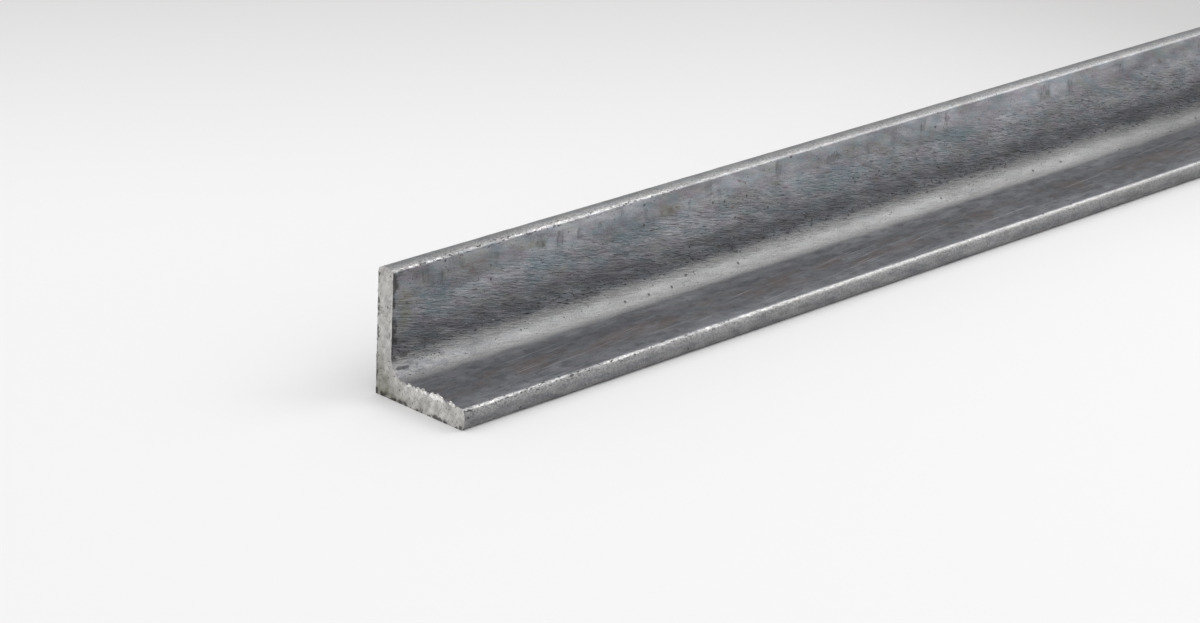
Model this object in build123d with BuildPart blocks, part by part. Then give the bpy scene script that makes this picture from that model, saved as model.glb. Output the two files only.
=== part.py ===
"""Equal steel angle, hot rolled, in one sawn length that lies on one of its legs.

The bar runs along X. Its heel line is at +Y on the floor: the flat leg reaches from
there towards -Y, and the other leg stands up along Z. The origin is under the middle
of the bar, on the floor.
"""

from build123d import *
import os

# Driving dimensions, in millimetres
bar_length = 500.0  # between the foremost points of the two cuts
leg_width = 30.0  # outside of each leg, from the heel to the top of the toe's crown
leg_thickness = 5.0
root_radius = 5.0  # fillet in the inside corner, between the legs
heel_radius = 0.5  # outside corner, left nearly sharp by the rolls
toe_crown = 0.7  # how far a rolled toe bulges past its two corners
toe_inner_radius = 1.0
toe_outer_radius = 1.3
saw_run_off = 1.5  # how far the near cut has fallen back at the top of the upright leg

# Places that follow from them
near_end = -bar_length / 2
heel_side = leg_width / 2  # the outer face of the upright leg
toe_side = -leg_width / 2  # the crown of the flat leg's toe
inner_side = heel_side - leg_thickness  # the inner face of the upright leg
toe_corner_side = toe_side + toe_crown
toe_corner_height = leg_width - toe_crown

with BuildPart() as angle_bar:
    # The rolled section, drawn across the bar: it is the same all the way along
    with BuildSketch(Plane.YZ.offset(near_end)) as section:
        with BuildLine():
            Line((heel_side, 0), (toe_corner_side, 0))
            ThreePointArc(
                (toe_corner_side, 0),
                (toe_side, leg_thickness / 2),
                (toe_corner_side, leg_thickness),
            )
            Line((toe_corner_side, leg_thickness), (inner_side, leg_thickness))
            Line((inner_side, leg_thickness), (inner_side, toe_corner_height))
            ThreePointArc(
                (inner_side, toe_corner_height),
                (inner_side + leg_thickness / 2, leg_width),
                (heel_side, toe_corner_height),
            )
            Line((heel_side, toe_corner_height), (heel_side, 0))
        make_face()

        # Outwards from the heel come the root, the outer toe corners and the inner ones
        corners = section.vertices().sort_by_distance((heel_side, 0))
        heel, root = corners[0], corners[1]
        outer_toes, inner_toes = corners[2:4], corners[4:6]
        fillet(root, root_radius)
        fillet(heel, heel_radius)
        fillet(outer_toes, toe_outer_radius)
        fillet(inner_toes, toe_inner_radius)
    extrude(amount=bar_length)

    # The saw went down through the near end a little off square
    near_cut = Plane(
        origin=(near_end, 0, 0),
        x_dir=(0, 1, 0),
        z_dir=(leg_width, 0, -saw_run_off),
    )
    split(bisect_by=near_cut, keep=Keep.TOP)

angle_bar.part.label = "angle_bar"

os.makedirs("parts", exist_ok=True)
export_step(angle_bar.part, "parts/angle_bar.step")
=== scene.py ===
"""Dresses a sawn length of hot-rolled steel angle: mill scale, rust, toes bared by wear, burred cut,
and painted highlights and shade.
"""

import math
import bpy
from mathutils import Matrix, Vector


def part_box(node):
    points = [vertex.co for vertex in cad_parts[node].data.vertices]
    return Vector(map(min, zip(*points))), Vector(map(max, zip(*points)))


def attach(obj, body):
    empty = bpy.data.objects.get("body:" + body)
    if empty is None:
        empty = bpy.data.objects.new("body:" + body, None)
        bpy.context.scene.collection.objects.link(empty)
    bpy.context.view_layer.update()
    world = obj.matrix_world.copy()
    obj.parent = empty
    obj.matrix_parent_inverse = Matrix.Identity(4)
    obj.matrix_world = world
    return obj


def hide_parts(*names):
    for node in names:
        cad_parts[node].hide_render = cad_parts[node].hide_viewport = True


bl_info = {
    "name": "Steel Angle Finish",
    "version": (1, 0, 0),
    "blender": (4, 5, 0),
    "location": "View3D > Sidebar > Steel Angle",
    "description": "Rolls, saws and finishes a length of equal steel angle, and lights it",
    "category": "Object",
}

import bpy
import numpy as np
from bpy.props import FloatProperty, FloatVectorProperty, IntProperty, PointerProperty
from mathutils import Euler, Matrix, Vector

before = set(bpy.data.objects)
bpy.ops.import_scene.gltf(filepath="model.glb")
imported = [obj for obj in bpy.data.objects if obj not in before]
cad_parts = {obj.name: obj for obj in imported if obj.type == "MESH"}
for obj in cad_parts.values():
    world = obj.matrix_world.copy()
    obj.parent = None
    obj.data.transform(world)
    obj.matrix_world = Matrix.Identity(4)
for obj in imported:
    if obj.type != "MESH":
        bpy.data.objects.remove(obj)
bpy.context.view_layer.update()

NODE, BODY, SLOT = "angle_bar", "root", "rolled_steel"
CAD_LOW, CAD_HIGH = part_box(NODE)
MM = 0.001
NEAR_CUT = CAD_LOW.x / MM
HEEL_SIDE = CAD_HIGH.y / MM
LEG = CAD_HIGH.z / MM
SAW_RUN_OFF = 1.5  # how far the near cut falls back over the leg's height, in mm

# Steps along each stretch of half the section, from the inside corner round to the heel
ROOT_STEPS, LEG_STEPS, CORNER_STEPS, CROWN_STEPS, HEEL_STEPS = 10, 20, 4, 8, 2
SIDE_STEPS = ROOT_STEPS + LEG_STEPS + CORNER_STEPS
HALF_STEPS = 2 * SIDE_STEPS + CROWN_STEPS

# The surface map has places along the bar and up the section, the bake map lays all faces apart
SURFACE_MAP, BAKE_MAP = "Surface", "OFBake"
BAKE_GAP, CAP_HEIGHT = 1.5, 10.0  # in mm, as the bake map has them before it is made to fit

# The run is the distance in mm along the outline from the inside corner's middle, positive up
# the upright leg. A toe's inner corner, its crown and the start of its outer face have these.
RIM_RUN, TOE_RUN, OUTER_RUN = 23.4, 26.2, 30.0

# Teeth of the burr along the flat leg's top: place from the heel, width and height in mm
BURR_TEETH = (
    (9.7, 1.0, 0.35), (11.5, 1.5, 0.65), (13.0, 0.8, 0.35), (14.6, 1.5, 0.7),
    (16.2, 1.9, 0.9), (17.8, 0.9, 0.4), (19.3, 1.7, 0.95), (21.1, 2.2, 1.1),
    (22.7, 0.9, 0.55), (24.4, 0.8, 0.3), (25.7, 1.8, 0.55),
)
# Flakes of torn steel on that burr, in the same measures
BURR_FLAKES = (
    (11.3, 1.2, 0.9), (14.4, 1.0, 0.8), (15.5, 1.6, 1.1), (16.7, 1.3, 1.0), (19.1, 1.3, 1.0),
    (20.2, 1.7, 1.4), (21.5, 1.8, 1.3), (22.5, 1.0, 1.0), (25.1, 1.4, 0.8), (26.1, 1.0, 0.7),
)

# Marks that stand out: place from the near cut, run, and half sizes both ways, in mm
DRIP_MARKS = (
    (11.4, 19.6, 1.6, 2.4), (14.8, 19.2, 1.4, 2.6), (21.1, 20.6, 1.2, 1.2),
    (31.5, 19.4, 0.8, 1.5), (44.7, 20.4, 1.6, 1.9), (50.6, 19.4, 1.3, 2.2),
    (56.8, 19.9, 0.9, 2.0), (63.0, 20.0, 0.6, 1.2), (77.7, 19.7, 0.7, 1.8),
    (92.2, 18.6, 0.6, 1.4), (142.0, 19.3, 2.6, 2.0), (154.5, 19.0, 1.0, 2.2),
    (184.0, 20.4, 1.0, 2.0),
)
RUST_MARKS = (
    (24.0, 19.2, 4.2, 1.8), (85.9, 18.6, 3.6, 1.2), (101.2, 18.8, 3.0, 1.4),
    (106.8, 14.5, 0.6, 0.6), (171.5, 14.5, 3.0, 0.8),
)
BLUE_MARKS = (
    (13.5, 14.5, 5.5, 4.5), (47.0, 15.0, 8.0, 3.0), (74.0, 15.5, 9.0, 3.0),
    (142.0, 14.0, 13.0, 3.5), (188.0, 15.5, 10.0, 3.0),
)
OLIVE_MARKS = ((3.8, 13.0, 2.2, 5.0), (44.5, 19.8, 3.0, 1.5), (85.0, 18.4, 4.0, 1.6))
PIT_MARKS = (
    (11.8, 1.5, 3.0, 0.8), (62.6, 4.5, 1.3, 0.5), (66.0, 3.9, 0.8, 0.4), (38.3, 0.8, 1.6, 0.5),
)
SMEAR_MARKS = ((3.0, 0.7, 2.4, 0.6), (3.6, 3.6, 1.9, 0.7))

# The camera: where it stands in metres, which way it looks in degrees, and its lens
CAMERA_AT = (-0.6581, -0.4911, 0.2647)
AZIMUTH, ELEVATION, ROLL = -43.25, 20.70, 0.51
LENS_MM, SENSOR_MM = 94.76, 36.0
VIEW_ALONG = (-math.sin(math.radians(AZIMUTH)), math.cos(math.radians(AZIMUTH)))
VIEW_ACROSS = (VIEW_ALONG[1], -VIEW_ALONG[0])


# ---------------------------------------------------------------- sizes and colours


def length(name, description, default):
    """A size. The default is in mm."""
    return FloatProperty(
        name=name, description=description, default=default * MM, unit="LENGTH", precision=5
    )


def colour(name, description, default):
    return FloatVectorProperty(
        name=name, description=description, default=default, subtype="COLOR", min=0, max=1
    )


class AngleSection(bpy.types.PropertyGroup):
    """The rolled section, as the frame's solid has it."""

    bar_length: length("Length", "From cut to cut", CAD_HIGH.x / MM - NEAR_CUT)
    leg_width: length("Leg width", "Outside of each leg", LEG)
    leg_thickness: length("Leg thickness", "Thickness of both legs", 5)
    root_radius: length("Root radius", "Fillet in the inside corner", 5)
    heel_radius: length("Heel radius", "Outside corner", 0.5)
    toe_crown: length("Toe crown", "How far a toe bulges past its corners", 0.7)
    toe_inner_radius: length("Inner toe radius", "Toe corner inside the angle", 1.0)
    toe_outer_radius: length("Outer toe radius", "Toe corner outside the angle", 1.3)
    saw_run_off: length("Saw run-off", "How far the near cut leans back at the top", SAW_RUN_OFF)


class AngleRelief(bpy.types.PropertyGroup):
    """Heights and sizes of what rolling, handling and sawing left on the surface."""

    waviness: length("Waviness", "Slow waves of the rolled faces", 0.10)
    waviness_size: length("Waviness size", "Length of a slow wave", 30)
    dents: length("Dents", "Shallow dents of the rolled faces", 0.05)
    dents_size: length("Dent size", "Width of a dent", 4)
    toe_nicks: length("Toe nicks", "Knocks along the toes", 0.16)
    toe_nicks_size: length("Toe nick size", "Width of a knock", 1.6)
    saw_marks: length("Saw marks", "Depth of the marks on the cuts", 0.10)
    saw_marks_size: length("Saw mark size", "Width of a saw mark", 0.5)
    cut_chips: length("Cut chips", "Depth of the chips on the cut's edges", 0.6)
    cut_chips_size: length("Cut chip size", "Width of a chip", 1.1)
    seed: IntProperty(name="Seed", description="Which random relief", default=7)


class AngleColours(bpy.types.PropertyGroup):
    """Colours of the steel's own finishes; some also paint highlights and shade."""

    # The dark scale colour also paints shade: low on the upright leg and on the toes' outer half.
    dark_scale_and_shade: colour("Dark scale", "Mill scale where it is thick", (0.10, 0.103, 0.113))
    scale_light: colour("Light scale", "Mill scale where it is thin", (0.41, 0.415, 0.44))
    scale_blue: colour("Blue scale", "Blue temper tint of the scale", (0.15, 0.215, 0.24))
    scale_purple: colour("Purple scale", "Purple temper tint", (0.215, 0.16, 0.205))
    scale_olive: colour("Olive scale", "Olive temper tint", (0.20, 0.20, 0.15))
    # The corner colour also paints a highlight in the inside corner.
    corner: colour("Rubbed corner", "Paler steel in the inside corner", (0.42, 0.415, 0.395))
    rust: colour("Rust", "Rust stains and drips", (0.12, 0.083, 0.068))
    # This bare steel colour also paints highlights: glints, the toes' inner half and a strip beside
    # the inside corner.
    worn_and_highlight: colour("Worn steel", "Bare steel on the toes", (0.62, 0.61, 0.60))
    sawn: colour("Sawn steel", "Fresh steel on the cuts", (0.83, 0.815, 0.785))
    # The burr colour also paints the near-white highlight along the toes' inner corners.
    burr: colour("Burr", "Torn bright steel of the burr", (0.97, 0.955, 0.93))
    pit: colour("Pits", "Dirt in pits and nicks", (0.04, 0.037, 0.035))


class AngleStage(bpy.types.PropertyGroup):
    """Floor and light."""

    floor: colour("Floor", "Floor round the bar", (0.93, 0.925, 0.925))
    # The far floor colour is painted shade on the floor behind the bar.
    floor_far_shade: colour("Far floor", "Floor behind the bar", (0.61, 0.605, 0.60))
    sky: colour("Sky", "Tent's colour", (0.995, 0.995, 1.0))
    sky_high: FloatProperty(name="Sky above", description="Tent's light from above", default=0.95)
    sky_low: FloatProperty(name="Sky around", description="Tent's light from the side", default=0.55)
    key_power: FloatProperty(name="Key", description="Softbox, in watts", default=4.1)


GROUPS = (AngleSection, AngleRelief, AngleColours, AngleStage)


# ---------------------------------------------------------------- the bar's mesh


def arc(centre, radius, start, end, steps):
    """Points of an arc after its first one. Angles are in radians."""
    turn = np.linspace(start, end, steps + 1)[1:]
    return np.stack([centre[0] + radius * np.cos(turn), centre[1] + radius * np.sin(turn)], 1)


def straight(start, end, steps):
    """Points of a straight line after its first one."""
    share = np.linspace(0, 1, steps + 1)[1:, None]
    return np.asarray(start) * (1 - share) + np.asarray(end) * share


def half_section(size, finer=1):
    """The upright leg's outline as (y, z) points, from the root's middle to the heel's."""
    heel_side, half_thick = size.leg_width / 2, size.leg_thickness / 2
    inner_side = heel_side - size.leg_thickness
    crown_radius = (half_thick**2 + size.toe_crown**2) / (2 * size.toe_crown)
    crown = (inner_side + half_thick, size.leg_width - crown_radius)

    def toe_corner(radius):
        reach = half_thick - radius
        rise = math.sqrt((crown_radius - radius) ** 2 - reach**2)
        return crown[1] + rise, math.atan2(rise, reach)

    inner_height, inner_turn = toe_corner(size.toe_inner_radius)
    outer_height, outer_turn = toe_corner(size.toe_outer_radius)
    inner_toe = (inner_side + size.toe_inner_radius, inner_height)
    outer_toe = (heel_side - size.toe_outer_radius, outer_height)
    root = np.array((inner_side - size.root_radius, size.leg_thickness + size.root_radius))
    heel = (heel_side - size.heel_radius, size.heel_radius)
    back_low = (heel_side, root[1])
    quarter, inner_turn = math.pi / 4, math.pi - inner_turn
    stretches = [
        [root + size.root_radius * np.array((math.cos(quarter), -math.sin(quarter)))],
        arc(root, size.root_radius, -quarter, 0, ROOT_STEPS * finer),
        straight((inner_side, root[1]), (inner_side, inner_height), LEG_STEPS * finer),
        arc(inner_toe, size.toe_inner_radius, math.pi, inner_turn, CORNER_STEPS * finer),
        arc(crown, crown_radius, inner_turn, outer_turn, CROWN_STEPS * finer),
        arc(outer_toe, size.toe_outer_radius, outer_turn, 0, CORNER_STEPS * finer),
        straight((heel_side, outer_height), back_low, LEG_STEPS * finer),
        straight(back_low, (heel_side, heel[1]), (ROOT_STEPS - HEEL_STEPS) * finer),
        arc(heel, size.heel_radius, 0, -quarter, HEEL_STEPS * finer),
    ]
    return np.concatenate(stretches)


def section_ring(size, finer=1):
    """The whole outline as (y, z) points in a ring, starting at the root's middle."""
    upright = half_section(size, finer)
    heel_side = size.leg_width / 2
    flat = np.stack([heel_side - upright[:, 1], heel_side - upright[:, 0]], 1)
    return np.concatenate([upright, flat[-2:0:-1]])


def run_lengths(size, finer=1):
    """How far each point of half the outline is from the root's middle, along the surface."""
    steps = np.linalg.norm(np.diff(half_section(size, finer), axis=0), axis=1)
    return np.concatenate([[0], np.cumsum(steps)])


def stations(size):
    """Places along the bar as (x, finer), close together at the two cuts."""
    near_rows, near_gap, near_finer = 14, 0.24 * MM, 4
    far_rows, far_gap, far_finer = 7, 0.34 * MM, 2
    middle_rows, ease_rows, first_gap = 494, 16, 0.3
    near, far = -size.bar_length / 2, size.bar_length / 2
    gaps = np.minimum(1, first_gap + (1 - first_gap) * np.arange(middle_rows) / ease_rows)
    room = size.bar_length - near_rows * near_gap - far_rows * far_gap
    middle = near + near_rows * near_gap + np.cumsum(gaps) * room / gaps.sum()
    rows = [(near + i * near_gap, near_finer) for i in range(near_rows + 1)]
    rows += [(x, 1) for x in middle[:-1]]
    rows += [(far - i * far_gap, far_finer) for i in range(far_rows, -1, -1)]
    return rows


def cap_grid(ring, finer, first):
    """A cut's faces and inner points: a grid along the legs and across their thickness.

    Returns the (y, z) of the inner points and the grid of vertex numbers, where the ring's
    own points are numbered from first[0] and the inner ones from first[1].
    """
    count, side, across = len(ring), SIDE_STEPS * finer, CROWN_STEPS * finer
    inner = np.arange(-side, side + 1) % count
    outer = np.arange(count - side - across, side + across - 1, -1)
    flat_toe = np.arange(count - side, count - side - across - 1, -1)
    upright_toe = np.arange(side, side + across + 1)
    share = np.linspace(0, 1, across + 1)[None, :, None]
    points = ring[inner][:, None] * (1 - share) + ring[outer][:, None] * share
    reach = 6 * finer  # rows over which the grid takes up the toe's bulge
    for toe, rows in ((flat_toe, np.arange(reach)), (upright_toe, 2 * side - np.arange(reach))):
        bulge = ring[toe] - points[rows[0]]
        points[rows] += bulge[None] * (1 - np.arange(reach) / reach)[:, None, None]
    grid = np.zeros((2 * side + 1, across + 1), int)
    grid[:, 0], grid[:, -1] = inner, outer
    grid[0], grid[-1] = flat_toe, upright_toe
    grid += first[0]
    middle = np.arange((2 * side - 1) * (across - 1)).reshape(2 * side - 1, across - 1)
    grid[1:-1, 1:-1] = first[1] + middle
    return points[1:-1, 1:-1].reshape(-1, 2), grid


class BarMesh:
    """Collects the swept bar's points, faces and maps."""

    def __init__(self, size):
        self.size = size
        self.rows = stations(size)
        self.rings = {k: section_ring(size, k) for k in {k for _, k in self.rows}}
        self.runs = {k: run_lengths(size, k) / MM for k in self.rings}
        self.around, self.long = self.runs[1][-1], size.bar_length / MM
        self.points, self.faces = [], []
        self.surface, self.bake, self.sawn = [], [], []
        self.sweep()
        self.cap(0)
        self.cap(-1)

    def sweep(self):
        """The rolled walls, row by row."""
        self.first = []
        total = 0
        for x, k in self.rows:
            self.first.append(total)
            ring = self.rings[k]
            self.points.append(np.column_stack([np.full(len(ring), x), ring]))
            total += len(ring)
        for row in range(len(self.rows) - 1):
            self.strip(row)

    def run_at(self, k, number, upright):
        """The signed run, in mm: up the upright leg it is positive, along the flat one not."""
        runs, count = self.runs[k], 2 * HALF_STEPS * k
        return runs[number] if upright else -runs[count - number]

    def strip(self, row):
        """Faces between two rows. Where the rows differ in fineness, a face has more corners."""
        (x0, k0), (x1, k1) = self.rows[row], self.rows[row + 1]
        k = min(k0, k1)
        count = 2 * HALF_STEPS * k
        for i in range(count):
            upright = i < HALF_STEPS * k
            low = [(row, k0, n) for n in range(i * k0 // k, (i + 1) * k0 // k + 1)]
            high = [(row + 1, k1, n) for n in range((i + 1) * k1 // k, i * k1 // k - 1, -1)]
            corners = low + high
            self.faces.append(
                [self.first[r] + n % (2 * HALF_STEPS * fine) for r, fine, n in corners]
            )
            places = [
                (self.rows[r][0] / MM, self.run_at(fine, n, upright)) for r, fine, n in corners
            ]
            self.surface += places
            self.bake += [self.wall_place(place, row) for place in places]
            self.sawn.append(False)

    def wall_place(self, place, row):
        """Where a wall's point lies on the bake map, in mm: the bar's halves lie side by side."""
        middle_row = len(self.rows) // 2
        second = row >= middle_row
        start = self.rows[middle_row][0] / MM if second else -self.long / 2
        return place[0] - start, place[1] + self.around + (2 * self.around + BAKE_GAP) * second

    def cap(self, row):
        """One cut's faces."""
        x, k = self.rows[row]
        ring = self.rings[k]
        start = sum(len(p) for p in self.points)
        inner, grid = cap_grid(ring, k, (self.first[row], start))
        self.points.append(np.column_stack([np.full(len(inner), x), inner]))
        long, wide = grid.shape
        base = 2 * (2 * self.around + BAKE_GAP)
        offset = 0 if row == 0 else self.long / 4
        scale_long = (self.long / 4 - BAKE_GAP) / (long - 1)
        scale_wide = CAP_HEIGHT / (wide - 1)
        for i in range(long - 1):
            for j in range(wide - 1):
                corners = [(i, j), (i + 1, j), (i + 1, j + 1), (i, j + 1)]
                if row == 0:
                    corners.reverse()
                self.faces.append([int(grid[c]) for c in corners])
                self.bake += [(offset + a * scale_long, base + b * scale_wide) for a, b in corners]
                self.surface += corners
                self.sawn.append(True)

    def finish(self, name):
        """The Blender mesh with its maps and its sawn faces marked, and its points."""
        points = np.concatenate(self.points)
        mesh = bpy.data.meshes.new(name)
        mesh.from_pydata(points, [], self.faces)
        mesh.update()
        bake = np.array(self.bake)
        bake /= bake.max()
        for map_name, places in ((SURFACE_MAP, np.array(self.surface)), (BAKE_MAP, bake)):
            layer = mesh.uv_layers.new(name=map_name, do_init=False)
            layer.uv.foreach_set("vector", places.astype(np.float32).ravel())
        flags = mesh.attributes.new("sawn", "BOOLEAN", "FACE")
        flags.data.foreach_set("value", self.sawn)
        return mesh, points


def lean_near_cut(points, size):
    """Leans the near cut back up the upright leg, and eases the rows behind it."""
    ease = 25 * MM
    behind = points[:, 0] + size.bar_length / 2
    share = np.clip(1 - behind / ease, 0, 1)
    share = share * share * (3 - 2 * share)
    points[:, 0] += size.saw_run_off * points[:, 2] / size.leg_width * share
    return behind


def burr_heights(places):
    """Height of the burr at each place from the heel, in mm."""
    height, roundness = np.zeros_like(places), 2.2
    for middle, width, rise in BURR_TEETH:
        away = np.abs(places - middle) / (width / 2)
        height = np.maximum(height, rise * np.clip(1 - away**roundness, 0, None))
    return height


def raise_burr(points, behind, size):
    """Pushes the inside edge of the near cut up into a ragged burr."""
    reach, steepness = 0.75 * MM, 1.6
    upper_share, root_share = 0.2, 0.45  # what of the leg is lifted, and how far up the root
    thickness = size.leg_thickness
    places = (size.leg_width / 2 - points[:, 1]) / MM
    edge = np.clip(1 - behind / reach, 0, 1) ** steepness
    above = points[:, 2] - (1 - upper_share) * thickness
    top = np.clip(above / (upper_share * thickness), 0, 1)
    flat = points[:, 2] < thickness + root_share * size.root_radius
    points[:, 2] += burr_heights(places) * MM * edge * top**2 * flat


def flakes_at(points, behind, size):
    """Marks the vertex of the cut's inside edge nearest to each flake with its sizes."""
    widths, rises = np.zeros(len(points)), np.zeros(len(points))
    on_cut, clear_of_heel = 0.01 * MM, 8 * MM
    beside = points[:, 1] < size.leg_width / 2 - clear_of_heel
    edge = np.flatnonzero((behind < on_cut) & beside)
    for place, width, rise in BURR_FLAKES:
        goal = np.array([size.leg_width / 2 - place * MM, size.leg_thickness])
        gaps = np.linalg.norm(points[edge][:, 1:] - goal, axis=1)
        nearest = edge[np.argmin(gaps)]
        widths[nearest], rises[nearest] = width * MM, rise * MM
    return widths, rises


# ---------------------------------------------------------------- node helpers


def plug(tree, socket, value):
    """Gives a socket a number or another node's socket."""
    if isinstance(value, bpy.types.NodeSocket):
        tree.links.new(value, socket)
    else:
        socket.default_value = value


def node(tree, kind, inputs=None, **settings):
    """A new node with its settings and its inputs."""
    made = tree.nodes.new(kind)
    for key, value in settings.items():
        setattr(made, key, value)
    for key, value in (inputs or {}).items():
        plug(tree, made.inputs[key], value)
    return made


def math_node(tree, operation, *values):
    values = dict(enumerate(values))
    return node(tree, "ShaderNodeMath", values, operation=operation).outputs[0]


def vector_node(tree, operation, *values):
    values = dict(enumerate(values))
    return node(tree, "ShaderNodeVectorMath", values, operation=operation).outputs[0]


def scaled(tree, vector, factor):
    values = {0: vector, "Scale": factor}
    return node(tree, "ShaderNodeVectorMath", values, operation="SCALE").outputs[0]


def split(tree, vector):
    """The three parts of a vector."""
    return node(tree, "ShaderNodeSeparateXYZ", {0: vector}).outputs


def join(tree, *values):
    """A vector of up to three values."""
    return node(tree, "ShaderNodeCombineXYZ", dict(enumerate(values))).outputs[0]


def mix_colour(tree, share, low, high, blend="MIX"):
    values = {0: share, 6: low, 7: high}
    return node(tree, "ShaderNodeMix", values, data_type="RGBA", blend_type=blend).outputs[2]


def mix_value(tree, share, low, high):
    return node(tree, "ShaderNodeMix", {0: share, 2: low, 3: high}).outputs[0]


def stretch(tree, value, low, high, to_low=0.0, to_high=1.0):
    """A value moved from one range to another, with soft ends."""
    values = {0: value, 1: low, 2: high, 3: to_low, 4: to_high}
    return node(tree, "ShaderNodeMapRange", values, interpolation_type="SMOOTHSTEP").outputs[0]


def new_group(name, kind, output, **inputs):
    """An empty node group with one output, given by its kind.

    An input is given with its default, or with its kind where it has none. Returns the tree,
    the inputs' sockets inside it and the output's.
    """
    tree = bpy.data.node_groups.new(name, kind)
    kinds = {float: "Float", int: "Int", tuple: "Vector"}
    for label, given in inputs.items():
        bare = isinstance(given, str)
        made = tree.interface.new_socket(
            name=label.replace("_", " "),
            in_out="INPUT",
            socket_type="NodeSocket" + (given if bare else kinds[type(given)]),
        )
        if not bare:
            made.default_value = given
    tree.interface.new_socket(name=output, in_out="OUTPUT", socket_type="NodeSocket" + output)
    inner = tree.nodes.new("NodeGroupInput").outputs
    return tree, inner, tree.nodes.new("NodeGroupOutput").inputs[0]


def use_group(tree, group, **values):
    """Places a node group in a tree. Socket names are given with _ for a space."""
    kind = "GeometryNodeGroup" if tree.bl_idname == "GeometryNodeTree" else "ShaderNodeGroup"
    made = tree.nodes.new(kind)
    made.node_tree = group
    for key, value in values.items():
        plug(tree, made.inputs[key.replace("_", " ")], value)
    return made.outputs[0]


def named(tree, name, kind="FLOAT"):
    """An attribute of the geometry."""
    found = node(tree, "GeometryNodeInputNamedAttribute", {"Name": name}, data_type=kind)
    return found.outputs["Attribute"]


def store(tree, geometry, name, value, kind, domain):
    """The geometry with one more attribute."""
    values = {"Geometry": geometry, "Name": name, "Value": value}
    settings = {"data_type": kind, "domain": domain}
    return node(tree, "GeometryNodeStoreNamedAttribute", values, **settings).outputs[0]


def moved_to(tree, geometry, **place):
    """The geometry with its points at a new Position, or moved by an Offset."""
    values = {"Geometry": geometry, **place}
    return node(tree, "GeometryNodeSetPosition", values).outputs[0]


def noise(tree, place, **values):
    """Noise with a seed, W."""
    return node(tree, "ShaderNodeTexNoise", {"Vector": place, **values}, noise_dimensions="4D")


# ---------------------------------------------------------------- relief of the steel


def relief_layer():
    """Geometry group: a random height, from minus to plus the given one."""
    tree, given, result = new_group(
        "Relief Layer", "GeometryNodeTree", "Float", Height=0.0001, Size=0.01, Stretch=1.0, Seed=0.0
    )
    place = tree.nodes.new("GeometryNodeInputPosition").outputs[0]
    shape = join(tree, math_node(tree, "DIVIDE", 1.0, given["Stretch"]), 1.0, 1.0)
    rate = math_node(tree, "DIVIDE", 1.0, given["Size"])
    spread = vector_node(tree, "MULTIPLY", place, shape)
    waves = noise(tree, spread, W=given["Seed"], Scale=rate, Detail=2.0)
    centred = math_node(tree, "MULTIPLY_ADD", waves.outputs[0], 2.0, -1.0)
    tree.links.new(math_node(tree, "MULTIPLY", centred, given["Height"]), result)
    return tree


def flakes_group():
    """Geometry group: crumpled flakes of steel on the points that carry a flake's width."""
    lean, twist, thinness = 0.5, 0.6, 0.6
    crumple_rate, crumple_by = 2600.0, 0.9 * MM
    map_step, map_first, map_row, map_scale = 1.5, 0.2, 34.6, 0.028  # a place of its own for each
    tree, given, result = new_group(
        "Burr Flakes", "GeometryNodeTree", "Geometry", Geometry="Geometry", Seed=0
    )
    width, rise = named(tree, "flake_width"), named(tree, "flake_rise")
    there = math_node(tree, "GREATER_THAN", width, 0.0)
    carriers = {"Mesh": given["Geometry"], "Selection": there}
    points = node(tree, "GeometryNodeMeshToPoints", carriers).outputs[0]
    number = tree.nodes.new("GeometryNodeInputIndex").outputs[0]
    flake = node(tree, "GeometryNodeMeshIcoSphere", {"Radius": 0.5, "Subdivisions": 2}).outputs
    flake = store(tree, flake["Mesh"], BAKE_MAP, flake["UV Map"], "FLOAT2", "CORNER")
    turns = {0: (-lean, -lean, -twist), 1: (lean, lean, twist), "Seed": given["Seed"]}
    turn = node(tree, "FunctionNodeRandomValue", turns, data_type="FLOAT_VECTOR").outputs[0]
    size = join(tree, math_node(tree, "MULTIPLY", rise, thinness), width, rise)
    setting = {"Points": points, "Instance": flake, "Rotation": turn, "Scale": size}
    flakes = node(tree, "GeometryNodeInstanceOnPoints", setting).outputs[0]
    flakes = store(tree, flakes, "flake_number", number, "FLOAT", "INSTANCE")
    flakes = node(tree, "GeometryNodeRealizeInstances", {"Geometry": flakes}).outputs[0]
    along = math_node(tree, "MULTIPLY_ADD", named(tree, "flake_number"), map_step, map_first)
    shift = join(tree, along, map_row)
    on_map = vector_node(tree, "ADD", named(tree, BAKE_MAP, "FLOAT_VECTOR"), shift)
    on_map = scaled(tree, on_map, map_scale)
    flakes = store(tree, flakes, BAKE_MAP, on_map, "FLOAT2", "CORNER")
    place = tree.nodes.new("GeometryNodeInputPosition").outputs[0]
    crumple = {"Vector": place, "Scale": crumple_rate, "Detail": 1.0}
    crumple = node(tree, "ShaderNodeTexNoise", crumple).outputs[1]
    away = scaled(tree, vector_node(tree, "SUBTRACT", crumple, (0.5, 0.5, 0.5)), crumple_by)
    flakes = moved_to(tree, flakes, Offset=away)
    tree.links.new(store(tree, flakes, "flake", True, "BOOLEAN", "FACE"), result)
    return tree


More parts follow.
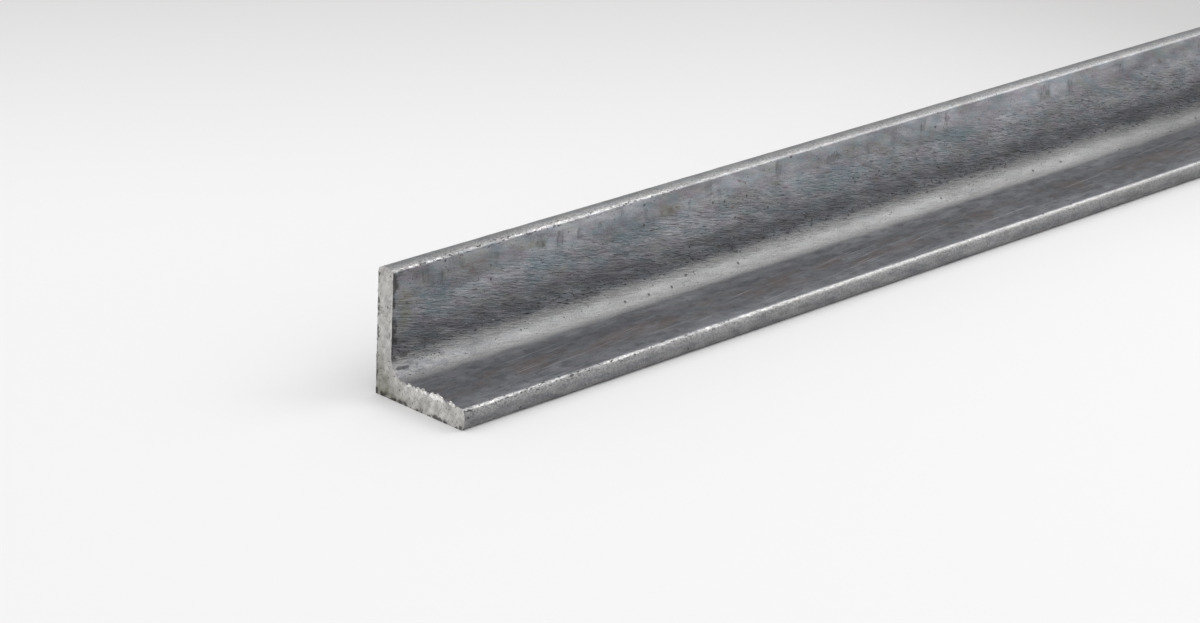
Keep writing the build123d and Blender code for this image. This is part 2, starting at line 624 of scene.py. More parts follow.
def relief_tree(relief):
    """Geometry tree: waves, dents, toe nicks, saw marks and chips, inside the solid's box."""
    layer = relief_layer()
    sizes = {}
    for label in ("Waviness", "Dents", "Toe Nicks", "Saw Marks", "Cut Chips"):
        name = label.lower().replace(" ", "_")
        sizes[label] = getattr(relief, name)
        sizes[label + " Size"] = getattr(relief, name + "_size")
    tree, sent, result = new_group(
        "Rolled and Sawn Relief",
        "GeometryNodeTree",
        "Geometry",
        Geometry="Geometry",
        **sizes,
        Seed=float(relief.seed),
        Box_Low=tuple(CAD_LOW),
        Box_High=tuple(CAD_HIGH),
        Rolled="Material",
        Sawn="Material",
        Burr="Material",
    )

    def height(label, seed_step, long=1.0):
        seed = math_node(tree, "ADD", sent["Seed"], seed_step)
        size = sent[label + " Size"]
        return use_group(tree, layer, Height=sent[label], Size=size, Stretch=long, Seed=seed)

    def carved(label, seed_step, where, total, long=1.0):
        """Adds the hollows of a layer to the total."""
        hollows = math_node(tree, "MINIMUM", height(label, seed_step, long), 0.0)
        return math_node(tree, "MULTIPLY_ADD", hollows, where, total)

    toe, cut, edge = (named(tree, name) for name in ("toe", "cut", "cut_edge"))
    slow = math_node(tree, "ADD", height("Waviness", 0.3, 1.6), height("Dents", 5.1, 1.8))
    total = math_node(tree, "MULTIPLY", slow, math_node(tree, "SUBTRACT", 1.0, cut))
    total = carved("Toe Nicks", 9.7, toe, total, 1.7)
    total = carved("Saw Marks", 2.4, cut, total)
    total = carved("Cut Chips", 7.7, edge, total)
    normal = tree.nodes.new("GeometryNodeInputNormal").outputs[0]
    place = tree.nodes.new("GeometryNodeInputPosition").outputs[0]
    moved = vector_node(tree, "ADD", place, scaled(tree, normal, total))
    moved = vector_node(tree, "MAXIMUM", moved, sent["Box Low"])
    moved = vector_node(tree, "MINIMUM", moved, sent["Box High"])
    shaped = moved_to(tree, sent["Geometry"], Position=moved)
    seed = node(tree, "FunctionNodeFloatToInt", {0: sent["Seed"]}).outputs[0]
    flakes = use_group(tree, flakes_group(), Geometry=sent["Geometry"], Seed=seed)
    held = vector_node(tree, "MAXIMUM", place, sent["Box Low"])
    joined = tree.nodes.new("GeometryNodeJoinGeometry")
    tree.links.new(moved_to(tree, flakes, Position=held), joined.inputs[0])
    tree.links.new(shaped, joined.inputs[0])
    bar = node(tree, "GeometryNodeRealizeInstances", {"Geometry": joined.outputs[0]}).outputs[0]
    finishes = (
        (True, "Rolled"), (named(tree, "sawn", "BOOLEAN"), "Sawn"),
        (named(tree, "flake", "BOOLEAN"), "Burr"),
    )
    for where, finish in finishes:
        values = {"Geometry": bar, "Selection": where, "Material": sent[finish]}
        bar = node(tree, "GeometryNodeSetMaterial", values).outputs[0]
    tree.links.new(bar, result)
    return tree


def apply_tree(thing, tree, **values):
    """Runs a geometry tree on an object once, and keeps its result as a plain mesh."""
    modifier = thing.modifiers.new(tree.name, "NODES")
    modifier.node_group = tree
    for item in tree.interface.items_tree:
        if item.in_out == "INPUT" and item.name in values:
            modifier[item.identifier] = values[item.name]
    graph = bpy.context.evaluated_depsgraph_get()
    shaped = bpy.data.meshes.new_from_object(
        thing.evaluated_get(graph), preserve_all_data_layers=True, depsgraph=graph
    )
    thing.modifiers.remove(modifier)
    thing.data = shaped


# ---------------------------------------------------------------- shared material effects


def blotches_group():
    """Shader group: a mask of blotches or streaks, with its own size each way, in mm."""
    tree, sent, result = new_group(
        "Stretched Blotches", "ShaderNodeTree", "Float",
        Place="Vector", Size=(10.0, 10.0, 10.0), Seed=0.0, Detail=3.0, Low=0.35, High=0.65,
    )
    place = vector_node(tree, "DIVIDE", sent["Place"], sent["Size"])
    waves = noise(tree, place, W=sent["Seed"], Scale=1.0, Detail=sent["Detail"])
    tree.links.new(stretch(tree, waves.outputs[0], sent["Low"], sent["High"]), result)
    return tree


def band_group():
    """Shader group: a mask that is 1 within a half width of a centre, with a soft edge."""
    tree, sent, result = new_group(
        "Band", "ShaderNodeTree", "Float", Value=0.0, Centre=0.0, Half=1.0, Soft=0.5
    )
    away = math_node(tree, "ABSOLUTE", math_node(tree, "SUBTRACT", sent["Value"], sent["Centre"]))
    outer = math_node(tree, "ADD", sent["Half"], sent["Soft"])
    inner = math_node(tree, "SUBTRACT", sent["Half"], sent["Soft"])
    tree.links.new(stretch(tree, away, inner, outer, 1.0, 0.0), result)
    return tree


def specks_group():
    """Shader group: small round specks, each present by chance."""
    core_share = 0.4
    tree, sent, result = new_group(
        "Specks", "ShaderNodeTree", "Float", Place="Vector", Size=1.0, Amount=0.3, Radius=0.3
    )
    rate = math_node(tree, "DIVIDE", 1.0, sent["Size"])
    cells = node(tree, "ShaderNodeTexVoronoi", {"Vector": sent["Place"], "Scale": rate}).outputs
    chance = node(tree, "ShaderNodeSeparateColor", {0: cells["Color"]}).outputs[0]
    there = math_node(tree, "LESS_THAN", chance, sent["Amount"])
    core = math_node(tree, "MULTIPLY", sent["Radius"], core_share)
    dot = stretch(tree, cells["Distance"], core, sent["Radius"], 1.0, 0.0)
    tree.links.new(math_node(tree, "MULTIPLY", there, dot), result)
    return tree


def spot_group():
    """Shader group: a ragged spot round a place on the surface."""
    raggedness, inside, outside = 1.2, 1.05, 1.75
    tree, sent, result = new_group(
        "Ragged Spot", "ShaderNodeTree", "Float",
        Place="Vector", Centre=(0.0, 0.0, 0.0), Half=(1.0, 1.0, 1.0), Ragged=0.5,
    )
    away = vector_node(tree, "SUBTRACT", sent["Place"], sent["Centre"])
    away = vector_node(tree, "DIVIDE", away, sent["Half"])
    far = node(tree, "ShaderNodeVectorMath", {0: away}, operation="LENGTH").outputs["Value"]
    far = math_node(tree, "MULTIPLY_ADD", sent["Ragged"], raggedness, far)
    tree.links.new(stretch(tree, far, inside, outside, 1.0, 0.0), result)
    return tree


EFFECTS = {
    "blotches": blotches_group, "band": band_group, "specks": specks_group, "spot": spot_group,
}


# ---------------------------------------------------------------- materials


class Painter:
    """Builds a material's masks and colours, a layer at a time. All places are in mm."""

    def __init__(self, name, effects):
        self.material = bpy.data.materials.new(name)
        self.material.use_nodes = True
        self.tree = self.material.node_tree
        self.tree.nodes.clear()
        self.shader = self.tree.nodes.new("ShaderNodeBsdfPrincipled")
        output = self.tree.nodes.new("ShaderNodeOutputMaterial")
        self.tree.links.new(self.shader.outputs[0], output.inputs[0])
        self.effects = effects
        place = self.tree.nodes.new("ShaderNodeTexCoord").outputs["Object"]
        self.place = scaled(self.tree, place, 1 / MM)
        self.base = None
        self.seed = 0.0

    def effect(self, name, **values):
        return use_group(self.tree, self.effects[name], **values)

    def blotches(self, size, low=0.35, high=0.65, at=None, detail=3.0):
        """A random mask: the noise goes from 0 to 1 between low and high.

        Each call moves the seed on, so the order of the calls matters.
        """
        self.seed += 1.37
        values = {"Size": size, "Seed": self.seed, "Detail": detail, "Low": low, "High": high}
        return self.effect("blotches", Place=self.place if at is None else at, **values)

    def band(self, value, centre, half, soft):
        return self.effect("band", Value=value, Centre=centre, Half=half, Soft=soft)

    def specks(self, size, amount, radius, at=None):
        values = {"Size": size, "Amount": amount, "Radius": radius}
        return self.effect("specks", Place=self.place if at is None else at, **values)

    def spots(self, at, marks, ragged):
        """Ragged spots at the given marks."""
        masks = []
        for gap, run, half_along, half_run in marks:
            centre, half = (NEAR_CUT + gap, run, 0), (half_along, half_run, 1)
            masks.append(self.effect("spot", Place=at, Centre=centre, Half=half, Ragged=ragged))
        return self.most(*masks)

    def chain(self, operation, first, *others):
        for other in others:
            first = math_node(self.tree, operation, first, other)
        return first

    def times(self, *values):
        return self.chain("MULTIPLY", *values)

    def most(self, *values):
        return self.chain("MAXIMUM", *values)

    def sum(self, *values):
        return self.chain("ADD", *values)

    def less(self, first, second):
        return self.chain("SUBTRACT", first, second)

    def shifted(self, value, mask, by):
        """The value, moved by so much where the mask is 1."""
        return math_node(self.tree, "MULTIPLY_ADD", mask, by, value)

    def between(self, share, low, high):
        return mix_value(self.tree, share, low, high)

    def ramp(self, value, low, high, to_low=0.0, to_high=1.0):
        return stretch(self.tree, value, low, high, to_low, to_high)

    def turned(self, at, degrees, axis="Z_AXIS"):
        """Places turned about an axis, so that streaks may lie askew."""
        values = {"Vector": at, "Angle": math.radians(degrees)}
        return node(self.tree, "ShaderNodeVectorRotate", values, rotation_type=axis).outputs[0]

    def start(self, tone, low, high):
        """The first layer, between two colours."""
        self.base = mix_colour(self.tree, tone, (*low, 1.0), (*high, 1.0))

    def paint(self, colour, *shares):
        """Lays a colour over what is there."""
        self.base = mix_colour(self.tree, self.times(*shares), self.base, (*colour, 1.0))

    def brighten(self, times, *shares):
        """Makes what is there paler or darker, and keeps its pattern."""
        colour = (times, times, times, 1.0)
        self.base = mix_colour(self.tree, self.times(*shares), self.base, colour, "MULTIPLY")

    def finish(self, metallic, roughness, *heights):
        """Gives the shader its values. The heights are in mm and add up to its bumps."""
        values = {"Base Color": self.base, "Metallic": metallic, "Roughness": roughness}
        if heights:
            bump = {"Height": self.sum(*heights), "Distance": MM, "Strength": 1.0}
            values["Normal"] = node(self.tree, "ShaderNodeBump", bump).outputs[0]
        for socket, value in values.items():
            plug(self.tree, self.shader.inputs[socket], value)
        return self.material


def gap_from_cut(paint, spread):
    """Distance from the near cut, which leans."""
    lean = math_node(paint.tree, "MULTIPLY_ADD", spread[2], -SAW_RUN_OFF / LEG, -NEAR_CUT)
    return paint.sum(spread[0], lean)


def rolled_material(effects, colours):
    """Mill scale with temper tints, rust, scratches and toes bared by wear, and painted highlights,
    sheen and shade.
    """
    paint = Painter("rolled_scale", effects)
    surface = node(paint.tree, "ShaderNodeUVMap", uv_map=SURFACE_MAP).outputs[0]
    run, spread = split(paint.tree, surface)[1], split(paint.tree, paint.place)
    along, reach = spread[0], math_node(paint.tree, "ABSOLUTE", run)
    askew = paint.turned(surface, 13.2)
    drift = paint.blotches((7, 2.5, 1), 0.2, 0.8, surface)
    wander = paint.shifted(paint.sum(run, -1.6), drift, 3.2)

    # Mill scale: broad clouds, short ripples and grain
    broad = paint.blotches((24, 6, 1), 0.3, 0.7, surface)
    clouds = paint.blotches((6, 2.2, 1), 0.3, 0.7, askew, 5.0)
    ripples = paint.blotches((2.6, 0.42, 1), 0.3, 0.7, askew, 3.0)
    outer = paint.ramp(reach, OUTER_RUN - 1, OUTER_RUN + 1)
    upright = paint.most(paint.band(run, 10.0, 7.5, 3.0), paint.times(outer, 0.35))
    grain = paint.blotches((0.3, 0.3, 0.3), 0.3, 0.7, detail=2.0)
    tone = paint.sum(
        paint.times(broad, 0.26),
        paint.times(clouds, 0.28),
        paint.times(grain, 0.2),
        paint.times(ripples, paint.between(upright, 0.1, 0.3)),
    )
    paint.start(tone, colours.dark_scale_and_shade, colours.scale_light)
    on_upright = paint.ramp(run, -1.0, 8.0, 0.35, 1.0)
    tints = (
        (colours.scale_purple, 0.28), (colours.scale_olive, 0.25), (colours.scale_blue, 0.36),
    )
    for tint, most in tints:
        tinted = paint.blotches((6.5, 2.6, 1), 0.46, 0.64, askew, 2.0)
        paint.paint(tint, tinted, most, on_upright)
    # A darker band low on the upright leg, above the inside corner: blotchy thick scale and painted
    # shade near the corner.
    low_scale_and_shade = paint.blotches((9, 2, 1), 0.3, 0.55, askew)
    paint.paint(colours.dark_scale_and_shade, paint.band(wander, 6.6, 2.3, 2.0), low_scale_and_shade, 0.65)
    # Painted sheen: the upper part of the upright leg is painted lighter, less so by the near cut
    # and towards the far end, and not on the toe.
    painted_sheen = paint.times(
        paint.ramp(run, 8.0, 18.0),
        paint.between(broad, 0.3, 0.75),
        paint.ramp(along, NEAR_CUT + 5, NEAR_CUT + 45, 0.1, 1.0),
        paint.ramp(along, NEAR_CUT + 230, NEAR_CUT + 390, 1.0, 0.75),
        paint.ramp(reach, 24.0, 26.0, 1.0, 0.0),
    )
    paint.brighten(1.75, painted_sheen)
    seams = paint.times(paint.blotches((2.4, 0.38, 1), 0.6, 0.67, askew, 1.0), upright)
    paint.paint(colours.pit, seams, 0.45)
    frayed = paint.blotches((3.0, 1.6, 1), 0.2, 0.8, askew, 5.0)
    paint.paint(colours.scale_olive, paint.spots(surface, OLIVE_MARKS, frayed), 0.5)
    paint.paint(colours.scale_blue, paint.spots(surface, BLUE_MARKS, frayed), 0.45)

    # The outer faces are darker, with long marks from the rolls, scuffs and thin rust
    roll_marks = paint.blotches((70, 0.6, 1), 0.4, 0.7, surface, 3.0)
    scuffs = paint.blotches((10, 0.35, 1), 0.68, 0.74, paint.turned(surface, 8), 2.0)
    handled = paint.times(paint.blotches((16, 7, 1), 0.56, 0.68, surface, 6.0), outer)
    paint.paint(colours.dark_scale_and_shade, outer, paint.between(clouds, 0.15, 0.55))
    paint.paint(colours.scale_light, roll_marks, outer, 0.14)
    paint.paint(colours.worn_and_highlight, scuffs, outer, 0.4)
    paint.paint(colours.rust, handled, 0.3)

    # The inside corner is paler, in patches near the cut: partly steel paled by rubbing, partly a
    # painted highlight. It gathers specks and scabs.
    corner = paint.band(paint.shifted(run, drift, 0.8), 0.4, 3.3, 0.8)
    corner_highlight_reach = paint.ramp(along, NEAR_CUT + 220, NEAR_CUT + 305, 1.0, 0.0)
    low_highlight_band = paint.band(paint.shifted(run, drift, 0.7), -2.2, 1.2, 1.1)
    from_cut = paint.ramp(along, NEAR_CUT - 2, NEAR_CUT + 35, 0.45, 1.0)
    speckle = paint.specks(0.6, 0.35, 0.34)
    by_cut = paint.ramp(along, NEAR_CUT + 12, NEAR_CUT + 45, 1.0, 0.0)
    stripped = paint.blotches((3.2, 1.3, 1), 0.46, 0.58, askew, 5.0)
    whole = paint.between(paint.times(by_cut, stripped), 1.0, 0.25)
    paint.paint(colours.corner, corner, paint.between(grain, 0.3, 0.6), whole)
    # Painted shade on the corner towards the far end, and a painted highlight in a strip beside it
    # on the flat leg, weaker by the cut and gone at the far end.
    paint.brighten(0.72, corner, paint.less(1.0, corner_highlight_reach))
    paint.paint(colours.worn_and_highlight, low_highlight_band, from_cut, corner_highlight_reach, paint.between(grain, 0.35, 0.65))
    paint.paint(colours.pit, speckle, corner, 0.3)
    scabs = paint.blotches((1.5, 0.6, 1), 0.57, 0.63, askew, 3.0)
    scabs = paint.times(paint.band(wander, 4.4, 1.5, 1.2), scabs)

    # The flat leg: pale patches, two strips painted lighter, dark mottles and a long stain with a
    # darker tide line
    pools = paint.blotches((9, 5.2, 1), 0.2, 0.8, surface, 8.0)
    stain = paint.times(paint.ramp(pools, 0.36, 0.68), paint.band(wander, -13.8, 3.2, 2.0))
    tide = paint.times(paint.band(pools, 0.46, 0.02, 0.06), paint.band(run, -14.0, 7.0, 2.0))
    flat = paint.band(run, -13.5, 9.0, 1.5)
    askew_flat = paint.turned(surface, -4)
    mottles = paint.blotches((2.6, 2.2, 1), 0.52, 0.64, askew_flat, 7.0)
    pale = paint.blotches((8, 3.6, 1), 0.48, 0.68, askew_flat, 6.0)
    paint.brighten(1.28, pale, flat)
    # Painted light: a strip of the flat leg beside the inside corner and one short of the toe are
    # painted lighter.
    paint.brighten(1.25, paint.band(run, -5.4, 1.9, 1.6))
    paint.brighten(1.1, paint.band(run, -21.0, 1.6, 1.2))
    paint.paint(colours.dark_scale_and_shade, mottles, flat, 0.45)
    paint.paint(colours.rust, stain, 0.62)
    paint.paint(colours.pit, tide, clouds, 0.4)

    # Drips and rust spots below the upright leg's toe
    ragged = paint.blotches((1.8, 1.0, 1), 0.2, 0.8, surface)
    strokes = paint.blotches((0.8, 3.0, 1), 0.5, 0.62, surface, 5.0)
    chance_drips = paint.blotches((7, 40, 1), 0.6, 0.68, surface, 1.0)
    chance_drips = paint.times(paint.band(wander, 20.4, 2.0, 1.2), chance_drips)
    drips = paint.most(chance_drips, paint.spots(surface, DRIP_MARKS, ragged))
    drips = paint.times(paint.between(strokes, 0.4, 1.0), drips)
    chance_spots = paint.blotches((4.5, 1.6, 1), 0.64, 0.72, askew, 5.0)
    chance_spots = paint.times(paint.band(wander, 18.8, 3.2, 1.8), chance_spots)
    broken = paint.blotches((1.5, 0.8, 1), 0.4, 0.6, askew)
    placed_spots = paint.times(paint.spots(surface, RUST_MARKS, ragged), broken)
    spots = paint.most(chance_spots, placed_spots)
    paint.paint(colours.rust, spots, 0.6)
    paint.paint(colours.pit, drips, 0.6)

    # Scratches along the flat leg, and short glints on the upright one
    long_ones = paint.blotches((40, 0.5, 1), 0.66, 0.73, paint.turned(surface, -3), 1.0)
    short_ones = paint.blotches((24, 0.4, 1), 0.66, 0.73, paint.turned(surface, -7), 1.0)
    scratches = paint.times(paint.most(long_ones, short_ones), flat)
    glints = paint.times(paint.blotches((1.4, 0.32, 1), 0.68, 0.74, askew, 1.0), upright)
    paint.paint(colours.scale_light, scratches, 0.75)
    paint.brighten(1.25, scratches)
    paint.paint(colours.worn_and_highlight, glints, 0.7)

    # The toes are bared by rubbing and most battered on their inner corner, and are painted darker
    # towards the far end. Their inner half is painted lighter, partly bare steel and partly a
    # painted highlight, their outer half gets painted shade, and a near-white painted highlight runs
    # along the inner corner.
    rough_end = paint.ramp(along, NEAR_CUT + 35, NEAR_CUT + 130)
    toe = paint.band(reach, TOE_RUN, 2.8, 0.5)
    brushed = paint.blotches((0.4, 1.3, 1), 0.3, 0.7, surface, 3.0)
    sand = paint.blotches((0.5, 0.32, 0.32), 0.38, 0.62, detail=1.0)
    patchy = paint.blotches((6, 1.8, 1), 0.3, 0.7, surface, 4.0)
    paint.paint(colours.dark_scale_and_shade, toe, brushed, 0.55)
    # Painted shade: the toe is darker towards its outer side, which on the flat leg is its bottom.
    paint.paint(colours.dark_scale_and_shade, toe, paint.ramp(reach, TOE_RUN - 0.2, TOE_RUN + 2), 0.5)
    paint.paint(colours.corner, toe, patchy, 0.45)
    paint.paint(colours.pit, toe, paint.less(1.0, sand), 0.25)
    # Bare steel and a painted highlight: lightest at the toe's inner corner, fading by the crown.
    rubbed_toe_and_highlight = paint.ramp(reach, RIM_RUN - 0.1, TOE_RUN, 0.75, 0.0)
    rubbed_toe_and_highlight = paint.times(toe, rubbed_toe_and_highlight, paint.between(sand, 0.35, 0.8))
    battered = paint.blotches((1.3, 0.5, 0.5), 0.35, 0.65, detail=3.0)
    worn_runs = paint.blotches((9, 4, 1), 0.4, 0.5, surface, 2.0)
    # Painted highlight along the toe's inner corner: near the cut a thin battered line of bare steel
    # and glints, further on a soft band, weaker on the upright toe and towards the far end.
    fine_rim_wear_and_glint = paint.times(paint.band(reach, RIM_RUN, 0.2, 0.28), battered, worn_runs)
    far_off = paint.ramp(along, NEAR_CUT + 190, NEAR_CUT + 340)
    soft_rim_highlight = paint.times(
        paint.band(reach, RIM_RUN + 0.1, 0.35, 0.5),
        paint.ramp(run, -10.0, 10.0, 0.42, 0.12),
        paint.between(far_off, 1.0, 0.5),
    )
    rim_wear_and_highlight = paint.between(rough_end, fine_rim_wear_and_glint, soft_rim_highlight)
    paint.paint(colours.dark_scale_and_shade, toe, far_off, 0.25)
    paint.paint(colours.worn_and_highlight, rubbed_toe_and_highlight)
    paint.paint(colours.burr, rim_wear_and_highlight)
    chips = paint.times(
        paint.band(reach, RIM_RUN + 0.1, 0.9, 0.6),
        paint.blotches((1.1, 0.45, 0.45), 0.58, 0.64, detail=3.0),
        paint.between(rough_end, 1.0, 0.15),
    )
    paint.paint(colours.pit, chips, 0.85)

    # Dark pits all over, and a darker strip beside the near cut
    marked = paint.times(
        paint.spots(surface, PIT_MARKS, ragged), paint.specks(0.6, 0.7, 0.48, surface)
    )
    smears = paint.times(paint.spots(surface, SMEAR_MARKS, ragged), paint.between(grain, 0.5, 1.0))
    paint.paint(colours.pit, smears, 0.9)
    pits = paint.most(paint.specks(1.9, 0.06, 0.24), paint.specks(0.8, 0.09, 0.26), scabs, marked)
    fringe = paint.blotches((1.4, 1.8, 1), 0.3, 0.7, surface, 4.0)
    fringed = paint.shifted(gap_from_cut(paint, spread), fringe, -2.2)
    dark_strip_by_cut = paint.times(paint.ramp(fringed, -1.0, 0.4, 1.0, 0.0), paint.band(run, 13.0, 10.5, 1.0))
    paint.paint(colours.pit, paint.most(pits, dark_strip_by_cut), 0.75)

    bare = paint.most(rubbed_toe_and_highlight, rim_wear_and_highlight, scratches, glints)
    rust = paint.most(paint.times(stain, 0.5), drips, spots, smears, paint.times(handled, 0.4))
    dull = paint.times(paint.most(rust, chips), 0.8)
    roughness = paint.sum(
        paint.between(tone, 0.44, 0.32),
        paint.times(dull, 0.25),
        paint.times(corner, 0.08),
        paint.times(rim_wear_and_highlight, -0.15),
    )
    return paint.finish(
        paint.times(paint.between(bare, 0.8, 1.0), paint.less(1.0, dull)),
        roughness,
        paint.times(ripples, paint.between(upright, 0.02, 0.09)),
        paint.times(grain, 0.02),
        paint.times(clouds, 0.03),
        paint.times(sand, toe, 0.03),
        paint.times(battered, rim_wear_and_highlight, 0.12),
        paint.times(brushed, toe, 0.015),
        paint.times(paint.most(pits, chips, seams), -0.07),
        paint.times(scratches, -0.012),
    )


def burr_material(effects, colours):
    """Torn bright steel of the burr's flakes."""
    paint = Painter("bright_burr", effects)
    tone = paint.blotches((0.5, 0.5, 0.5), 0.4, 0.6, detail=1.0)
    paint.start(tone, colours.sawn, colours.burr)
    return paint.finish(0.8, 0.22)


def sawn_material(effects, colours):
    """Fresh sawn steel: fine steep marks, dark pits, a dirty heel and lower edge."""
    paint = Painter("sawn_steel", effects)
    spread = split(paint.tree, paint.place)
    brushed = paint.turned(paint.place, 62, "X_AXIS")
    marks = paint.blotches((4, 5, 0.16), 0.25, 0.75, brushed, 2.0)
    coarse = paint.blotches((4, 6, 0.7), 0.3, 0.7, brushed, 3.0)
    cloud = paint.blotches((3, 1.8, 2.2), 0.32, 0.68, detail=6.0)
    grain = paint.blotches((0.25, 0.25, 0.25), 0.3, 0.7, detail=1.0)
    tone = paint.sum(
        paint.times(marks, 0.22),
        paint.times(coarse, 0.22),
        paint.times(cloud, 0.46),
        paint.times(grain, 0.1),
    )
    dark = tuple(0.4 * part for part in colours.sawn)
    paint.start(tone, dark, colours.sawn)
    from_back = paint.less(HEEL_SIDE, spread[1])
    from_edge = paint.chain("MINIMUM", from_back, spread[2])
    smear = paint.blotches((2.0, 1.5, 1.7), 0.3, 0.7, detail=6.0)
    edge = paint.times(
        paint.ramp(paint.shifted(from_edge, smear, -2.8), -1.5, -0.6, 1.0, 0.0),
        paint.ramp(from_edge, 0.6, 1.4, 1.0, 0.0),
    )
    heel = paint.ramp(paint.sum(from_back, spread[2]), 4.0, 15.0, 1.0, 0.0)
    dirt = paint.blotches((1.6, 0.4, 0.9), 0.61, 0.68, detail=6.0)
    scored = paint.blotches((0.5, 0.55, 0.2), 0.66, 0.71, brushed, 3.0)
    pits = paint.most(scored, paint.specks(0.7, 0.34, 0.23))
    paint.paint(dark, paint.ramp(spread[2], 4.0, 9.0, 0.0, 0.25))
    paint.paint(colours.scale_olive, heel, paint.between(smear, 0.45, 1.0))
    paint.paint(colours.pit, paint.most(dirt, edge), 0.78)
    paint.paint(colours.pit, pits, 0.7)
    return paint.finish(
        0.92,
        paint.between(marks, 0.44, 0.28),
        paint.times(marks, 0.035),
        paint.times(coarse, 0.05),
        paint.times(cloud, 0.05),
        paint.times(paint.most(pits, dirt, edge), -0.07),
    )


# ---------------------------------------------------------------- the bar and its stage


def surface_masks(points, behind, size):
    """Shares of each relief on each point, and the flakes' sizes."""
    on_cut, by_cut, toe_depth = 0.02 * MM, 0.6 * MM, 2 * MM
    calm_from, calm_over, calming = 35 * MM, 90 * MM, 0.65
    cut_gap = np.minimum(behind, size.bar_length / 2 - points[:, 0])
    out = np.maximum(points[:, 2], size.leg_width / 2 - points[:, 1])
    calm = 1 - calming * np.clip((behind - calm_from) / calm_over, 0, 1)
    widths, rises = flakes_at(points, behind, size)
    return {
        "flake_width": widths,
        "flake_rise": rises,
        "cut": np.clip(1 - cut_gap / on_cut, 0, 1),
        "cut_edge": np.clip(1 - cut_gap / by_cut, 0, 1),
        "toe": np.clip((out - size.leg_width + toe_depth) / MM, 0, 1) * calm,
    }


def lay_floor(context, stage):
    """A pale floor with painted shade: it darkens behind the bar, and more so to the right."""
    half, darker_aside, soft_end = 6.0, 2.35, 0.3
    corners = [(-half, -half, 0), (half, -half, 0), (half, half, 0), (-half, half, 0)]
    mesh = bpy.data.meshes.new("floor")
    mesh.from_pydata(corners, [], [(0, 1, 2, 3)])
    floor = bpy.data.objects.new("floor", mesh)
    context.scene.collection.objects.link(floor)
    paint = Painter("floor_paper", {})
    tree = paint.tree
    place = tree.nodes.new("ShaderNodeTexCoord").outputs["Object"]

    def distance(direction, start, reach):
        values = {0: place, 1: (*direction, 0.0)}
        along = node(tree, "ShaderNodeVectorMath", values, operation="DOT_PRODUCT")
        return paint.ramp(along.outputs["Value"], start, start + reach)

    # Painted shade: the floor's colour darkens with distance behind the bar, and more so to the
    # right.
    behind, aside = distance(VIEW_ALONG, -0.08, 0.45), distance(VIEW_ACROSS, -0.1, 0.25)
    share = paint.times(behind, paint.between(aside, 1.0, darker_aside))
    share = math_node(tree, "SMOOTH_MIN", share, 1.0, soft_end)
    paint.start(share, stage.floor, stage.floor_far_shade)
    paint.shader.inputs["Specular IOR Level"].default_value = 0.0
    mesh.materials.append(paint.finish(0.0, 0.9))


def place_camera(context):
    data = bpy.data.cameras.new("camera")
    data.lens, data.sensor_width, data.sensor_fit = LENS_MM, SENSOR_MM, "HORIZONTAL"
    data.clip_start, data.clip_end = 0.01, 50.0
    camera = bpy.data.objects.new("camera", data)
    context.scene.collection.objects.link(camera)
    camera.location = CAMERA_AT
    turn = Euler((math.radians(90 - ELEVATION), 0, math.radians(AZIMUTH)), "XYZ").to_matrix()
    roll = Matrix.Rotation(math.radians(ROLL), 3, "Z")
    camera.rotation_mode = "QUATERNION"
    camera.rotation_quaternion = (turn @ roll).to_quaternion()
    context.scene.camera = camera


def hang_lights(context, stage):
    """A white tent round everything, brighter above, and one softbox high on the right."""
    bright_above, box_side, box_away = 0.6, 0.9, 1.45
    aim, direction = Vector((-0.1, 0.0, 0.0)), Vector((0.62, -0.36, 0.70)).normalized()
    world = bpy.data.worlds.new("studio")
    world.use_nodes = True
    tree = world.node_tree
    background = tree.nodes["Background"].inputs
    background["Color"].default_value = (*stage.sky, 1.0)
    facing = tree.nodes.new("ShaderNodeTexCoord").outputs["Generated"]
    height = split(tree, facing)[2]
    strength = stretch(tree, height, 0.0, bright_above, stage.sky_low, stage.sky_high)
    tree.links.new(strength, background["Strength"])
    context.scene.world = world
    key = bpy.data.lights.new("softbox", "AREA")
    key.shape, key.size, key.size_y = "RECTANGLE", box_side, box_side
    key.energy = stage.key_power
    holder = bpy.data.objects.new("softbox", key)
    context.scene.collection.objects.link(holder)
    holder.location = aim + box_away * direction
    holder.rotation_mode = "QUATERNION"
    holder.rotation_quaternion = direction.to_track_quat("Z", "Y")


# ---------------------------------------------------------------- operators


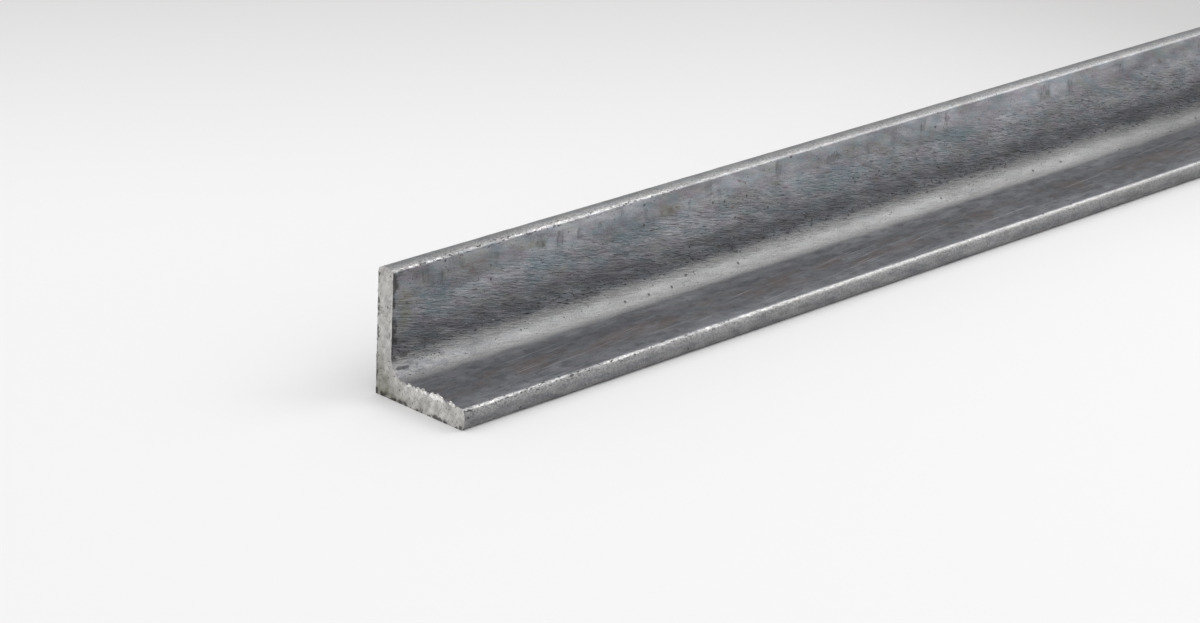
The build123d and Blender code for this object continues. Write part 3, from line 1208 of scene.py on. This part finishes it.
class ANGLE_OT_roll_bar(bpy.types.Operator):
    """Builds the bar from its section, with its relief and its three finishes."""

    bl_idname = "angle.roll_bar"
    bl_label = "Roll and saw the bar"

    def execute(self, context):
        size, colours = context.scene.angle_section, context.scene.angle_colours
        mesh, points = BarMesh(size).finish("angle_steel")
        behind = lean_near_cut(points, size)
        raise_burr(points, behind, size)
        mesh.vertices.foreach_set("co", points.astype(np.float32).ravel())
        for name, values in surface_masks(points, behind, size).items():
            layer = mesh.attributes.new(name, "FLOAT", "POINT")
            layer.data.foreach_set("value", values.astype(np.float32))
        mesh.update()
        bar = bpy.data.objects.new("angle_steel", mesh)
        context.scene.collection.objects.link(bar)
        effects = {name: make() for name, make in EFFECTS.items()}
        apply_tree(
            bar,
            relief_tree(context.scene.angle_relief),
            Rolled=rolled_material(effects, colours),
            Sawn=sawn_material(effects, colours),
            Burr=burr_material(effects, colours),
        )
        bar.data.name = "angle_steel"
        bar.data.shade_smooth()
        bar.data.set_sharp_from_angle(angle=math.radians(50))
        bar.data.uv_layers.active = bar.data.uv_layers[BAKE_MAP]
        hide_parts(NODE)
        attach(bar, BODY)
        return {"FINISHED"}


class ANGLE_OT_set_stage(bpy.types.Operator):
    """Lays the floor, hangs the lights and places the camera."""

    bl_idname = "angle.set_stage"
    bl_label = "Set the stage"

    def execute(self, context):
        stage = context.scene.angle_stage
        lay_floor(context, stage)
        hang_lights(context, stage)
        place_camera(context)
        context.scene.view_settings.view_transform = "Standard"
        return {"FINISHED"}


class ANGLE_PT_panel(bpy.types.Panel):
    """Lists the sizes, the colours and the steps."""

    bl_idname = "ANGLE_PT_panel"
    bl_label = "Steel Angle"
    bl_space_type = "VIEW_3D"
    bl_region_type = "UI"
    bl_category = "Steel Angle"

    def draw(self, context):
        for group in GROUPS:
            box = self.layout.box()
            box.label(text=group.__name__)
            values = getattr(context.scene, pointer_name(group))
            for name in group.__annotations__:
                box.prop(values, name)
        for operator in OPERATORS:
            self.layout.operator(operator.bl_idname)


OPERATORS = (ANGLE_OT_roll_bar, ANGLE_OT_set_stage)
CLASSES = GROUPS + OPERATORS + (ANGLE_PT_panel,)


def pointer_name(group):
    return "angle_" + group.__name__.removeprefix("Angle").lower()


def register():
    for item in CLASSES:
        bpy.utils.register_class(item)
    for group in GROUPS:
        setattr(bpy.types.Scene, pointer_name(group), PointerProperty(type=group))


def unregister():
    for group in GROUPS:
        delattr(bpy.types.Scene, pointer_name(group))
    for item in reversed(CLASSES):
        bpy.utils.unregister_class(item)


def main():
    register()
    bpy.ops.angle.roll_bar()
    bpy.ops.angle.set_stage()


if __name__ == "__main__":
    main()
